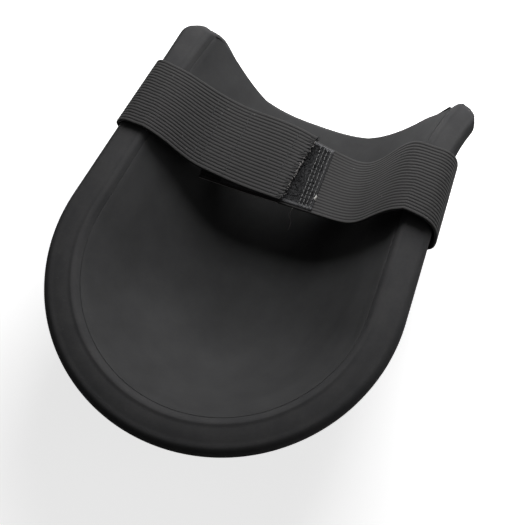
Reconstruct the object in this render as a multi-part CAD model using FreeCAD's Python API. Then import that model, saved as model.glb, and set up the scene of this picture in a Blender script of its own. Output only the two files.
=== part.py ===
# Moulded knee pad: a thick horseshoe cup for the knee, with one wide elastic band that passes
# under the pad, comes up over both side rims and closes across the cup with hooks and loops.
# Millimetres. +Z up, +Y towards the open end where the shin leaves, X across the knee.
# The origin is on the resting surface, under the middle of the pad.
import FreeCAD, Part

import math
import os

V = FreeCAD.Vector

# --- driving dimensions: the moulding ------------------------------------------------------
pad_width = 180.0            # across the half-round closed end
pad_length = 210.5           # closed end to the tips of the horns
rim_height = 70.0            # resting surface to the rim's top
rim_width = 15.8             # top of the wall, roundings included
side_taper = 5.0             # degrees that each side closes in towards the open end
tread_half_width = 40.0      # flat zone that rests on the ground
wall_bulge = 1.5             # 1 is a straight flared wall, more is a rounder one
hollow_depth = 58.5          # rim's top down to the moulding's floor, under the liner
hollow_roundness = 2.85      # power of the hollow's section, 2 is a parabola
horn_setback = 5.0           # a horn's outer corner ends this much before its inner corner
horn_outer_round = 5.0
horn_inner_round = 3.0
rim_outer_round = 5.0
rim_inner_round = 3.5

# --- driving dimensions: the liner bonded into the hollow -----------------------------------
liner_thickness = 2.5
liner_below_rim = 4.5
liner_short_of_end = 1.5

# --- driving dimensions: the tread ----------------------------------------------------------
groove_depth = 2.5
groove_width = 4.0
groove_pitch = 9.5
tread_margin = 6.0           # plain rubber between the grooves and the band's channel

# --- driving dimensions: the band, its channel and the two moulded bridges over it ----------
band_width = 44.0
band_thickness = 1.8
band_from_tips = 23.5        # horn tips to the band's far edge
band_clearance = 0.3         # air between the band and the rubber
channel_depth = 6.0
channel_side_clearance = 1.0
channel_top = 44.0           # the channel runs out into the flank at this height
bridge_thickness = 3.3
bridge_bottom = 17.0
bridge_top = 26.0
rim_arch = 1.5               # how far the band stands off the middle of the rim
flank_hang = 6.5             # how far the loose right flank of the band stands off the wall
over_rim = (0.35, 0.60)      # shares of the rim's width where the band's curve is held above it

# --- driving dimensions: where the band's curve is held on the wall and under the tread ------
# a wall station is 0 at the tread and 1 at the rim's edge
sunk_stations = (0.68, 0.58, 0.48, 0.38, 0.28, 0.18, 0.08)
tread_shares = (0.9, 0.6, 0.3)
snug_stations = (0.93, 0.87)
channel_mouth = (0.78, 1.0)                  # station, and how far inside the wall's surface
slack_mouth = (0.74, 2.5)
slack_exit = (0.80, -1.2)
slack_flank = [(0.87, 0.7), (0.94, 1.0), (1.0, 0.5)]   # station, share of flank_hang

# --- driving dimensions: the closure, where a share is of the distance to the left bend -------
left_bend_inside = 0.6       # the left bend is this much outside the hollow's edge
right_bend_share = 0.96
loop_thickness = 1.2
hook_thickness = 1.2
layer_gap = 0.3              # air between the hooks and the loops
tape_seat = 0.12             # air between each tape and the band that it is sewn to
bend_gap = 0.8               # split in the band at each bend
tail_share = -0.53
peel_share = -0.47
hook_start_share = -0.42
hook_end_share = 0.015
tab_end_share = 0.095
tab_end_slant = 2.0          # the tab is cut off askew, longer at its far edge
loop_start_share = -0.42
loop_end_share = 0.30
patch_margin = 1.2           # the patches are narrower than the band by this much on each side
thread = 0.5
thread_lift = 0.06
stitch_length = 2.2
stitch_pitch = 3.2
stitch_row_pitch = 2.4
stitch_rows = 3
overcast_reach = 3.0
overcast_pitch = 2.4

# the closed band across the cup: share of the distance to the left bend, then the height of
# its hook and loop line above the rim, at its near edge and at its far edge
closed_band = [(-1.00, 0.5, 0.5), (-0.87, -5.5, -4.0), (-0.80, -10.5, -8.0), (-0.70, -17.0, -14.0),
               (-0.51, -21.7, -21.5), (-0.28, -24.9, -23.4), (-0.06, -25.3, -25.0),
               (0.17, -24.0, -30.5), (0.37, -22.3, -34.5), (0.53, -20.3, -33.5),
               (0.65, -14.8, -21.5), (0.75, -4.5, -7.0), (0.85, 2.8, 3.0),
               (right_bend_share, 4.6, 4.8)]

# --- worked out -------------------------------------------------------------------------------
end_radius = pad_width / 2
arc_y = end_radius - pad_length / 2
tip_y = pad_length / 2
hollow_radius = end_radius - rim_width
hollow_floor = rim_height - hollow_depth
taper_sine = math.sin(math.radians(side_taper))
band_far_y = tip_y - band_from_tips
band_near_y = band_far_y - band_width
beyond = 20.0                # how far tools run on past what they cut
arc_steps = 4
flat_length = 2.5            # the band's curves are made of flats this long


def half_width(radius, y):
    """Half the width, at y, of the outline whose closed end has this radius."""
    lean = math.asin(taper_sine * radius / end_radius)
    return (radius - (y - arc_y) * math.sin(lean)) / math.cos(lean)


def outline(radius, z):
    """Horseshoe wire: a round closed end and straight sides that lean in to a straight end."""
    lean = math.asin(taper_sine * radius / end_radius)
    side_x = radius * math.cos(lean)
    side_y = arc_y + radius * math.sin(lean)
    end_y = tip_y + beyond
    end_x = half_width(radius, end_y)
    left, right = V(-side_x, side_y, z), V(side_x, side_y, z)
    far_left, far_right = V(-end_x, end_y, z), V(end_x, end_y, z)
    closed_end = Part.Arc(left, V(0, arc_y - radius, z), right).toShape()
    return Part.Wire([closed_end, Part.makeLine(right, far_right),
                      Part.makeLine(far_right, far_left), Part.makeLine(far_left, left)])


def stack(points):
    """Block whose outlines have these radii and heights, from the bottom up."""
    return Part.makeLoft([outline(radius, z) for radius, z in points], True, True)


def box_between(low, high):
    return Part.makeBox(high.x - low.x, high.y - low.y, high.z - low.z, low)


def slab(y0, y1, z0, z1):
    """Block right across the pad."""
    return box_between(V(-pad_width, y0, z0), V(pad_width, y1, z1))


# --- the outer wall: from the tread it sweeps up to the rounded outer edge of the rim -------------
wall_lean = math.atan((end_radius - tread_half_width) / (wall_bulge * rim_height))
wall_top_radius = end_radius - rim_outer_round * (1 - math.cos(wall_lean))
wall_top_z = rim_height - rim_outer_round * (1 + math.sin(wall_lean))


def wall_point(u, inset=0.0):
    """Radius and height on the outer wall, from the tread (u = 0) to the rim's edge (u = 1)."""
    flare = wall_top_radius - tread_half_width
    steepness = wall_bulge * wall_top_z / flare * u ** (2 - 2 / wall_bulge)
    slant = math.hypot(1, steepness)
    radius = tread_half_width + flare * u ** (2 / wall_bulge)
    return radius - inset * steepness / slant, wall_top_z * u ** 2 + inset / slant


def wall_block(inset=0.0):
    """The pad's outer form as one block, shrunk by inset and carried on above the rim's edge."""
    points = [wall_point(i / 12, inset) for i in range(13)]
    top_radius, top_z = points[-1]
    rise = rim_height + beyond - top_z
    return stack(points + [(top_radius + rise * math.tan(wall_lean), rim_height + beyond)])


def rounded_block():
    """The pad's outer form up to the rim, with the rim's outer edge rounded."""
    points = [wall_point(i / 12) for i in range(13)]
    for i in range(1, arc_steps + 1):
        angle = -wall_lean + (math.pi / 2 + wall_lean) * i / arc_steps
        points.append((end_radius - rim_outer_round * (1 - math.cos(angle)),
                       rim_height - rim_outer_round * (1 - math.sin(angle))))
    return stack(points)


# --- the hollow: a trough that the closed end turns into a cup ------------------------------------
hollow_lean = math.atan(hollow_radius / (hollow_depth * hollow_roundness))


def hollow_point(v, shrink=0.0):
    """Radius and height on the hollow's surface, from its floor (v = 0) to the rim (v = 1)."""
    steepness = hollow_depth * hollow_roundness / hollow_radius * v ** (hollow_roundness - 1)
    slant = math.hypot(1, steepness)
    z = hollow_floor + hollow_depth * v ** hollow_roundness
    return hollow_radius * v - shrink * steepness / slant, z + shrink / slant


def hollow_block(shrink=0.0):
    """The hollow as one block, shrunk by the liner, with the rim's inner edge rounded off."""
    edge_back = rim_inner_round * math.tan((math.pi / 2 - hollow_lean) / 2)
    edge_share = 1 - edge_back * math.sin(hollow_lean) / hollow_radius
    start_share = 0.18
    points = []
    for i in range(13):
        points.append(hollow_point(start_share + (edge_share - start_share) * i / 12, shrink))
    if shrink:
        return stack(points)
    for i in range(1, arc_steps + 1):
        angle = math.pi - hollow_lean - (math.pi / 2 - hollow_lean) * i / arc_steps
        points.append((hollow_radius + edge_back + rim_inner_round * math.cos(angle),
                       rim_height - rim_inner_round * (1 - math.sin(angle))))
    return stack(points + [(points[-1][0] + 1, rim_height + 5)])


def end_cut():
    """Prism over the pad's plan: its far side makes the open end and the slanted horn tips."""
    inner_x = half_width(hollow_radius, tip_y)
    outer_y = tip_y - horn_setback
    outer_x = half_width(end_radius, outer_y)
    skin = 0.02
    near_y = arc_y
    near_x = half_width(end_radius, near_y) + skin
    half = [V(near_x, near_y, -1), V(outer_x + skin, outer_y, -1), V(inner_x, tip_y, -1)]
    corners = half + [V(-p.x, p.y, p.z) for p in reversed(half)]
    prism = Part.Face(Part.makePolygon(corners + corners[:1])).extrude(V(0, 0, rim_height + 2))
    for corner, rounding in ((half[1], horn_outer_round), (half[2], horn_inner_round)):
        upright = [edge for edge in prism.Edges
                   if all(abs(abs(v.X) - corner.x) < 0.01 and abs(v.Y - corner.y) < 0.01
                          for v in edge.Vertexes)]
        prism = prism.makeFillet(rounding, upright)
    return prism.fuse(slab(-pad_length, near_y, -1, rim_height + 1))


def band_channel():
    """Recess for the band round the outside, with a moulded bridge over it on each flank."""
    y0 = band_near_y - channel_side_clearance
    y1 = band_far_y + channel_side_clearance
    bridges = slab(y0 - 1, y1 + 1, bridge_bottom, bridge_top).cut(wall_block(bridge_thickness))
    return slab(y0, y1, -1, channel_top).cut(wall_block(channel_depth)).cut(bridges)


def tread_grooves():
    """Grooves across the flat that rests on the ground, on both sides of the band's channel."""
    zones = [(arc_y - tread_half_width, band_near_y - tread_margin),
             (band_far_y + tread_margin, tip_y)]
    grooves = []
    for y0, y1 in zones:
        count = int((y1 - y0 - groove_width) // groove_pitch) + 1
        first = (y0 + y1 - (count - 1) * groove_pitch - groove_width) / 2
        for i in range(count):
            y = first + i * groove_pitch
            grooves.append(slab(y, y + groove_width, -1, groove_depth))
    return Part.makeCompound(grooves)


def moulded_shell():
    body = rounded_block().common(end_cut()).cut(hollow_block())
    return body.cut(band_channel()).cut(tread_grooves())


def cavity_liner():
    skin = hollow_block().cut(hollow_block(liner_thickness))
    reach = slab(-pad_length, tip_y - liner_short_of_end, 0, rim_height - liner_below_rim)
    return skin.common(reach)


# --- the band ----------------------------------------------------------------------------------
hook_low = layer_gap / 2
hook_high = hook_low + hook_thickness
tab_high = hook_high + band_thickness
loop_high = -layer_gap / 2
loop_low = loop_high - loop_thickness
strap_low = loop_low - band_thickness
bend_x = half_width(hollow_radius, band_near_y) + left_bend_inside
right_bend_x = bend_x * right_bend_share


def curve_through(points, parameters):
    curve = Part.BSplineCurve()
    curve.interpolate(Points=points, Parameters=parameters)
    return curve


def closed_edges():
    """Near and far edge of the hook and loop line; a point's parameter is its own X."""
    stations = [share * bend_x for share, near, far in closed_band]
    near = [V(x, band_near_y, rim_height + row[1]) for x, row in zip(stations, closed_band)]
    far = [V(x, band_far_y, rim_height + row[2]) for x, row in zip(stations, closed_band)]
    return curve_through(near, stations), curve_through(far, stations)


def strip(edges, start, stop, low, high, side=(0.0, 1.0)):
    """Solid strip in short flats, between two offsets from a pair of edge curves.
    The flats change at the same parameters in every strip, so strips that touch share faces.
    side is the part of the band's width that it takes, 0 at the near edge and 1 at the far."""
    near, far = edges
    inner = range(math.floor(start / flat_length) + 1, math.ceil(stop / flat_length))
    stations = [start] + [i * flat_length for i in inner] + [stop]
    wires = []
    for share in side:
        lower, upper = [], []
        for t in stations:
            point = near.value(t) * (1 - share) + far.value(t) * share
            run = near.getD1(t)[1] * (1 - share) + far.getD1(t)[1] * share
            normal = V(-run.z, 0, run.x).normalize()
            lower.append(point + normal * low)
            upper.append(point + normal * high)
        corners = lower + upper[::-1]
        wires.append(Part.makePolygon(corners + corners[:1]))
    return Part.makeLoft(wires, True, True)


def rim_run():
    """Radius and height of the band's middle over a rim, from its outside to its inside."""
    stand_off = band_clearance + band_thickness / 2
    over = rim_height + stand_off + rim_arch
    corner = (rim_outer_round + stand_off + band_clearance) * math.sqrt(0.5)
    return [(end_radius + stand_off + 2 * band_clearance, rim_height - rim_outer_round),
            (end_radius - rim_outer_round + corner, rim_height - rim_outer_round + corner),
            *((end_radius - share * rim_width, over) for share in over_rim)]


def under_run_edges():
    """Near and far edge of the band's middle: left bend, left flank, tread, right flank, bend.
    Their parameter is the length travelled along the near edge, which is also returned."""
    stand_off = band_clearance + band_thickness / 2
    sunk = channel_depth - stand_off
    close = [wall_point(u, -stand_off - band_clearance) for u in snug_stations]
    entry = [wall_point(*channel_mouth)]
    inside = [wall_point(u, sunk) for u in sunk_stations]
    inside += [(share * tread_half_width, sunk) for share in tread_shares]
    wide = [wall_point(*slack_mouth), wall_point(*slack_exit)]
    wide += [wall_point(u, -share * flank_hang) for u, share in slack_flank]
    left = list(reversed(rim_run())) + close + entry + inside
    right = list(reversed(inside)) + wide + rim_run()
    left_z = hook_high + band_thickness / 2
    right_z = loop_low - band_thickness / 2
    edges = []
    for y, column in ((band_near_y, 1), (band_far_y, 2)):
        points = [V(-bend_x - bend_gap / 2, y, rim_height + closed_band[0][column] + left_z)]
        points += [V(-half_width(radius, y), y, z) for radius, z in left]
        points += [V(half_width(radius, y), y, z) for radius, z in right]
        points += [V(right_bend_x + bend_gap / 2, y,
                     rim_height + closed_band[-1][column] + right_z)]
        if not edges:
            travelled = [0.0]
            for before, after in zip(points, points[1:]):
                travelled.append(travelled[-1] + (after - before).Length)
        edges.append(curve_through(points, travelled))
    return edges, travelled[-1]


def elastic_band_under_run():
    edges, length = under_run_edges()
    half = band_thickness / 2
    return strip(edges, 0.0, length, -half, half)


def strap_left_span(edges):
    start = -bend_x + bend_gap / 2
    stop = peel_share * bend_x - bend_gap / 2
    return strip(edges, start, stop, hook_high, tab_high)


def strap_left_tab(edges):
    """The tab's free end is cut off askew, so a wedge comes off its near corner."""
    start = peel_share * bend_x + bend_gap / 2
    end_x = tab_end_share * bend_x
    tab = strip(edges, start, end_x + tab_end_slant / 2, hook_high, tab_high)
    corners = [V(end_x - tab_end_slant / 2, band_near_y, 0), V(end_x + beyond, band_near_y, 0),
               V(end_x + beyond, band_far_y, 0), V(end_x + tab_end_slant / 2, band_far_y, 0)]
    off = Part.Face(Part.makePolygon(corners + corners[:1])).extrude(V(0, 0, 2 * rim_height))
    return tab.cut(off)


def strap_right_span(edges):
    start = tail_share * bend_x
    stop = right_bend_x - bend_gap / 2
    return strip(edges, start, stop, strap_low, loop_low)


patch_side = (patch_margin / band_width, 1 - patch_margin / band_width)


def hook_patch(edges):
    start, stop = hook_start_share * bend_x, hook_end_share * bend_x
    return strip(edges, start, stop, hook_low, hook_high - tape_seat, patch_side)


def loop_patch(edges):
    start, stop = loop_start_share * bend_x, loop_end_share * bend_x
    return strip(edges, start, stop, loop_low + tape_seat, loop_high, patch_side)


def stitch_row(edges, x, low, high):
    """Row of stitches across the band at X, each one a short bar along the band's width."""
    count = int((band_width - 2 * patch_margin) // stitch_pitch)
    first = (band_width - (count - 1) * stitch_pitch - stitch_length) / 2
    bars = []
    for i in range(count):
        y = first + i * stitch_pitch
        side = (y / band_width, (y + stitch_length) / band_width)
        bars.append(strip(edges, x, x + thread, low, high, side))
    return bars


def loop_patch_stitching(edges):
    """Rows that sew the loops down beside their free right end, where the tab leaves them bare."""
    low = loop_high + thread_lift
    bars = []
    for i in range(stitch_rows):
        x = loop_end_share * bend_x - (i + 0.6) * stitch_row_pitch
        bars += stitch_row(edges, x, low, low + thread)
    return Part.makeCompound(bars)


def hook_patch_stitching(edges):
    """Rows on top of the tab that sew the hooks on below it."""
    low = tab_high + thread_lift
    near_start = hook_start_share * bend_x + stitch_row_pitch / 2
    near_end = hook_end_share * bend_x - stitch_row_pitch
    bars = stitch_row(edges, near_start, low, low + thread)
    bars += stitch_row(edges, near_end, low, low + thread)
    return Part.makeCompound(bars)


def overcast(edges, end_x, slant, inward, low, high):
    """Stitches over a cut end of the band, each one from the end back onto the band's face."""
    count = int(band_width // overcast_pitch)
    bars = []
    for i in range(count):
        y = (i + 0.3) * overcast_pitch
        side = (y / band_width, (y + thread) / band_width)
        x = end_x + slant * (side[0] - 0.5)
        start, stop = sorted((x + inward * thread_lift, x + inward * overcast_reach))
        bars.append(strip(edges, start, stop, low, high, side))
    return Part.makeCompound(bars)


def tab_end_overcast(edges):
    low = tab_high + thread_lift
    return overcast(edges, tab_end_share * bend_x, tab_end_slant, -1, low, low + thread)


def tail_end_overcast(edges):
    high = strap_low - thread_lift
    return overcast(edges, tail_share * bend_x, 0.0, 1, high - thread, high)


def main():
    os.makedirs("parts", exist_ok=True)
    edges = closed_edges()
    nodes = {"moulded_shell": moulded_shell(), "cavity_liner": cavity_liner(),
             "elastic_band_under_run": elastic_band_under_run()}
    for piece in (strap_left_span, strap_left_tab, strap_right_span, hook_patch, loop_patch,
                  loop_patch_stitching, hook_patch_stitching, tab_end_overcast,
                  tail_end_overcast):
        nodes[piece.__name__] = piece(edges)
    for name, shape in nodes.items():
        box = shape.BoundBox
        print(name, len(shape.Solids), shape.isValid(), round(shape.Volume),
              [round(a, 1) for a in (box.XMin, box.XMax, box.YMin, box.YMax, box.ZMin, box.ZMax)])
        shape.exportStep("parts/" + name + ".step")


main()
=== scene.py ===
# %% [markdown]
# # A moulded knee pad with an elastic band
#
# A knee pad for roofing and siding work is a thick cup of black rubber. A thin liner is bonded
# into its hollow, and one wide elastic band runs under the cup, comes up over both rims and
# closes across the hollow with hooks and loops.
#
# The CAD model holds the sizes, the bodies and the joints. Here each visible piece is modelled
# again with the surface that the real one has, in the same place. Most pieces hang from an empty
# named after their CAD body; the lengths of the band that fold keep their place baked in.

# %% Load the frame
import math
import random

import bmesh
import bpy
import numpy as np
from mathutils import Matrix, Vector


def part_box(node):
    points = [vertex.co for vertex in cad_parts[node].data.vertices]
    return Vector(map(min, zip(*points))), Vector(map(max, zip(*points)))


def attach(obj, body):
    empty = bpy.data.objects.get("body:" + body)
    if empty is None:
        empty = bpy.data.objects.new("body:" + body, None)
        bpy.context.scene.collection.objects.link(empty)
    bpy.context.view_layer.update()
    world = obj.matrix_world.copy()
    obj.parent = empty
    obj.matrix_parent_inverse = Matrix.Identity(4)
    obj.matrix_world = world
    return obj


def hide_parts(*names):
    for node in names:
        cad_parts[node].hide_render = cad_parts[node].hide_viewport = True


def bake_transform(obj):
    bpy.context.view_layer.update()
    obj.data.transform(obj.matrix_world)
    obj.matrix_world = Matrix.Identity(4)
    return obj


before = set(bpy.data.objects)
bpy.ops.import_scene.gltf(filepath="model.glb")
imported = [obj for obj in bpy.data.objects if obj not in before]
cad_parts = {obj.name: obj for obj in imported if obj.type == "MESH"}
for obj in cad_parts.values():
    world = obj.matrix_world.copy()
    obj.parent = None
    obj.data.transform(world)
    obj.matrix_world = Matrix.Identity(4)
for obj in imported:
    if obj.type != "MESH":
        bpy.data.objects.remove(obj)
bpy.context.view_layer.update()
mm = 0.001

# %% [markdown]
# ## Sizes
#
# The overall size comes from the frame, so the pieces follow the CAD model. The values that
# shape the moulding between its corners are the ones that the real mould would have: how much
# the sides close in, how round the hollow is, and how far the wall leans.

# %% Sizes of the moulding, in millimetres
shell_low, shell_high = (Vector(corner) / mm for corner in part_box("moulded_shell"))
pad_width = shell_high.x - shell_low.x
pad_length = shell_high.y - shell_low.y
rim_height = shell_high.z
rim_width = 15.8
side_taper = math.radians(5.0)
tread_half_width = 40.0
wall_bulge = 1.5
hollow_depth = 58.5
hollow_roundness = 2.85
rim_outer_round = 5.0
rim_inner_round = 3.5
rim_crown = 0.25
end_round = 4.0
liner_thickness = 2.5
liner_below_rim = 4.5
liner_short_of_end = 3.0

end_radius = pad_width / 2
tip_y = pad_length / 2
arc_y = end_radius - tip_y
hollow_radius = end_radius - rim_width
hollow_floor = rim_height - hollow_depth
print("pad", round(pad_width, 1), "x", round(pad_length, 1), "x", round(rim_height, 1), "mm")


# %% [markdown]
# ## The horseshoe plan
#
# Seen from above, every level of the cup is the same figure: a half circle at the closed end
# and two straight sides that lean in. One function gives the half width at any Y, and another
# turns a radius and a station along the figure into X and Y. Everything moulded is built from
# these two, so the liner fits the hollow without any fitting.

# %% Points on the plan
def lean_of(radius):
    return np.arcsin(math.sin(side_taper) * np.asarray(radius, float) / end_radius)


def half_width(radius, y):
    """Half the width at y of the figure whose closed end has this radius."""
    lean = lean_of(radius)
    return (np.asarray(radius, float) - (y - arc_y) * np.sin(lean)) / np.cos(lean)


def plan_stations(side_ys, arc_steps):
    """Stations from the left tip round the closed end to the right tip.
    A side station is ("left" or "right", y); one on the round end is ("arc", share of the arc)."""
    left = [("left", y) for y in sorted(side_ys, reverse=True)]
    arc = [("arc", i / arc_steps) for i in range(arc_steps + 1)]
    right = [("right", y) for y in sorted(side_ys)]
    return left + arc + right


def plan_point(radius, station):
    """X and Y for an array of radii at one station."""
    kind, value = station
    radius = np.asarray(radius, float)
    lean = lean_of(radius)
    if kind == "arc":
        angle = (math.pi - lean) + value * (math.pi + 2 * lean)
        return radius * np.cos(angle), arc_y + radius * np.sin(angle)
    side = -1.0 if kind == "left" else 1.0
    y = np.broadcast_to(np.asarray(value, float), radius.shape)
    return side * half_width(radius, y), y.copy()


print("half width at the horns:", round(float(half_width(end_radius, tip_y)), 1), "mm")


# %% [markdown]
# ## From arrays to meshes
#
# The surfaces are grids of points: rows along one direction, columns along the other. A helper
# joins the points with quads, merges the ones that meet, and makes the object. Working in
# arrays keeps each piece's shape in a few lines of arithmetic.

# %% Mesh helpers
def new_mesh(name, points, faces, uvs=None, smooth=True):
    """Object from points in millimetres; uvs is one (u, v) for each point."""
    mesh = bpy.data.meshes.new(name)
    mesh.from_pydata([tuple(p) for p in np.asarray(points, float) * mm], [], faces)
    if uvs is not None:
        layer = mesh.uv_layers.new(name="along_and_across")
        corners = np.empty(len(mesh.loops), np.int32)
        mesh.loops.foreach_get("vertex_index", corners)
        layer.uv.foreach_set("vector", np.asarray(uvs, np.float32)[corners].ravel())
    mesh.validate()
    mesh.polygons.foreach_set("use_smooth", [smooth] * len(mesh.polygons))
    obj = bpy.data.objects.new(name, mesh)
    bpy.context.scene.collection.objects.link(obj)
    return obj


def grid_faces(rows, columns, closed=False, first=0):
    """Quads between neighbouring rows of points; closed joins the last column to the first."""
    faces = []
    wrap = columns if closed else columns - 1
    for j in range(rows - 1):
        for i in range(wrap):
            a = first + j * columns + i
            b = first + j * columns + (i + 1) % columns
            faces.append((a, b, b + columns, a + columns))
    return faces


def clean(obj, merge=0.004):
    """Merges points that meet, drops faces with no area and turns the faces outwards."""
    bm = bmesh.new()
    bm.from_mesh(obj.data)
    bmesh.ops.remove_doubles(bm, verts=bm.verts, dist=merge * mm)
    bmesh.ops.dissolve_degenerate(bm, edges=bm.edges, dist=1e-7)
    bmesh.ops.recalc_face_normals(bm, faces=bm.faces)
    bm.to_mesh(obj.data)
    bm.free()
    return obj


def fill_holes(obj):
    """Closes every open loop of edges with triangles."""
    bm = bmesh.new()
    bm.from_mesh(obj.data)
    rim = [edge for edge in bm.edges if edge.is_boundary]
    bmesh.ops.triangle_fill(bm, edges=rim, use_beauty=True)
    bmesh.ops.recalc_face_normals(bm, faces=bm.faces)
    bm.to_mesh(obj.data)
    bm.free()
    return obj


def apply_modifiers(obj):
    graph = bpy.context.evaluated_depsgraph_get()
    mesh = bpy.data.meshes.new_from_object(obj.evaluated_get(graph))
    obj.modifiers.clear()
    obj.data = mesh
    return obj


def carve(obj, tool):
    """Takes the tool's volume out of obj, and removes the tool."""
    step = obj.modifiers.new("carve", "BOOLEAN")
    step.operation = "DIFFERENCE"
    step.solver = "EXACT"
    step.object = tool
    apply_modifiers(obj)
    bpy.data.objects.remove(tool)
    return obj


def slab(name, y0, y1, z0, z1):
    """Block right across the pad, as a tool for carving."""
    corners = [(x, y, z) for x in (-pad_width, pad_width) for y in (y0, y1) for z in (z0, z1)]
    quads = [(0, 1, 3, 2), (4, 6, 7, 5), (0, 4, 5, 1), (2, 3, 7, 6), (0, 2, 6, 4), (1, 5, 7, 3)]
    return new_mesh(name, corners, quads, smooth=False)


# %% [markdown]
# ## The outline of the wall, seen in section
#
# Going from the middle of the hollow's floor up the hollow, over the rim and down the outside
# to the middle of the tread gives one continuous line. Each point also carries its outward
# normal, because the rounding at the open end and the band's channel are offsets of this line.

# %% Section of the moulding
wall_lean = math.atan((end_radius - tread_half_width) / (wall_bulge * rim_height))
wall_top_radius = end_radius - rim_outer_round * (1 - math.cos(wall_lean))
wall_top_z = rim_height - rim_outer_round * (1 + math.sin(wall_lean))
hollow_lean = math.atan(hollow_radius / (hollow_depth * hollow_roundness))


def wall_point(u):
    """Radius, height and outward normal on the outer wall, from the tread to the rim's edge."""
    flare = wall_top_radius - tread_half_width
    steepness = wall_bulge * wall_top_z / flare * u ** (2 - 2 / wall_bulge)
    slant = math.hypot(1, steepness)
    radius = tread_half_width + flare * u ** (2 / wall_bulge)
    return radius, wall_top_z * u ** 2, steepness / slant, -1 / slant


def hollow_point(v):
    """Radius, height and normal on the hollow's surface, from its floor to the rim."""
    steepness = hollow_depth * hollow_roundness / hollow_radius * v ** (hollow_roundness - 1)
    slant = math.hypot(1, steepness)
    z = hollow_floor + hollow_depth * v ** hollow_roundness
    return hollow_radius * v, z, -steepness / slant, 1 / slant


def arc_points(centre, radius, start, stop, steps):
    """Points with normals on an arc of the section, ends left out."""
    points = []
    for i in range(1, steps):
        angle = start + (stop - start) * i / steps
        c, s = math.cos(angle), math.sin(angle)
        points.append((centre[0] + radius * c, centre[1] + radius * s, c, s))
    return points


def rim_section(inner_round, outer_round, steps=7):
    """From the top of the hollow over the rim to the top of the outer wall."""
    back = inner_round * math.tan((math.pi / 2 - hollow_lean) / 2)
    inner = (hollow_radius + back, rim_height - inner_round)
    outer = (end_radius - outer_round, rim_height - outer_round)
    points = arc_points(inner, inner_round, math.pi - hollow_lean, math.pi / 2, steps)
    for share in np.linspace(0, 1, 7):
        radius = inner[0] + (outer[0] - inner[0]) * share
        crown = rim_crown * (math.sin(math.pi * share) - 1)
        points.append((radius, rim_height + crown, 0.0, 1.0))
    return points + arc_points(outer, outer_round, math.pi / 2, -wall_lean, steps + 2)


back_share = 1 - rim_inner_round * math.tan((math.pi / 2 - hollow_lean) / 2) \
    * math.sin(hollow_lean) / hollow_radius
section = [hollow_point(back_share * i / 30) for i in range(31)]
section += rim_section(rim_inner_round, rim_outer_round)
section += [wall_point(1 - i / 26) for i in range(27)]
section += [(tread_half_width * (1 - i / 8), 0.0, 0.0, -1.0) for i in range(1, 9)]
section = np.array(section)
print("points round the section:", len(section))


# %% [markdown]
# ## The cup
#
# The section is swept round the plan. At the open end it stops in a rounded edge: the last few
# rows move towards the tip while the section shrinks by its own normals, which is how a ball
# rolled along the edge would leave it. The two horns aren't alike. Each has its own reach, and its
# outer corner is set back by its own amount, so the end leans away there.

# %% Sweep the section round the plan
splay_from = 78.0
splay_right = 7.0
splay_left = 0.5
left_bulge = 3.0
bulge_spread = 9.0
full_splay_x = 70.0
inner_edge_x = float(half_width(hollow_radius, tip_y))


def splayed(x, y):
    """The horns spring outwards past the band, the right one more than the left, and the inner
    edge of the left one bulges inwards."""
    share = np.clip((y - splay_from) / (tip_y - splay_from), 0, None) ** 1.6
    lean = np.clip(np.abs(x) / full_splay_x, 0, 1) ** 2
    bulge = left_bulge * np.exp(-((x + inner_edge_x) / bulge_spread) ** 2)
    return x + share * (np.where(x > 0, splay_right, -splay_left) * lean + bulge)


def end_cap(points, first):
    """Faces that close the open end of a section, zipped up between its inner and outer line."""
    low, high = 0, len(points) - 1
    faces = []
    while high - low > 1:
        up = np.linalg.norm(points[low + 1] - points[high])
        down = np.linalg.norm(points[low] - points[high - 1])
        if up <= down:
            faces.append((first + low, first + low + 1, first + high))
            low += 1
        else:
            faces.append((first + low, first + high - 1, first + high))
            high -= 1
    return faces


def swept(name, section, side_ys, arc_steps, end_ys, rounding):
    """Closed solid: section swept round the plan, with rounded ends and filled end faces.
    end_ys gives, for the left and the right side, where each point of the section ends."""
    radius, z, nr, nz = section.T
    steps = 9
    turn = [i * math.pi / 2 / steps for i in range(steps + 1)]
    last_y = max(side_ys)
    body = []
    for station in plan_stations(side_ys, arc_steps):
        x, y = plan_point(radius, station)
        body.append(np.c_[x, y, z])
    ends = []
    for side, end_y in zip(("left", "right"), end_ys):
        rows = []
        for share in (0.35, 0.7):
            y = last_y + (end_y - rounding - last_y) * share
            x, y = plan_point(radius, (side, y))
            rows.append(np.c_[x, y, z])
        for angle in turn:
            shrink = rounding * (1 - math.cos(angle))
            ahead = rounding * (math.sin(angle) - 1)
            x, y = plan_point(np.maximum(radius - nr * shrink, 0), (side, end_y + ahead))
            rows.append(np.c_[x, y, z - nz * shrink])
        ends.append(rows)
    grid = ends[0][::-1] + body + ends[1]
    points = np.concatenate(grid)
    points[:, 0] = splayed(points[:, 0], points[:, 1])
    across = len(section)
    faces = list(grid_faces(len(grid), across))
    faces += end_cap(points[:across], 0)
    faces += end_cap(points[-across:], len(points) - across)
    return fill_holes(clean(new_mesh(name, points, faces)))


# %% [markdown]
# A flat cut would be the simplest end for a horn, but these lean back and their corners differ.
# So the end is given as a Y for every point of the section. Four lengths for each horn say how
# far it reaches and how its corners and its inner wall depart from that.

# %% Where the horns end
horn_drop = 50.0
horn_corner_spread = 4.0
horns = (  # reach, set-back of the outer corner, cut of the inner corner, bulge of the inner wall
    (5.5, 6.0, 3.5, 3.0),
    (8.5, 8.5, 0.3, 0.6))


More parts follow.
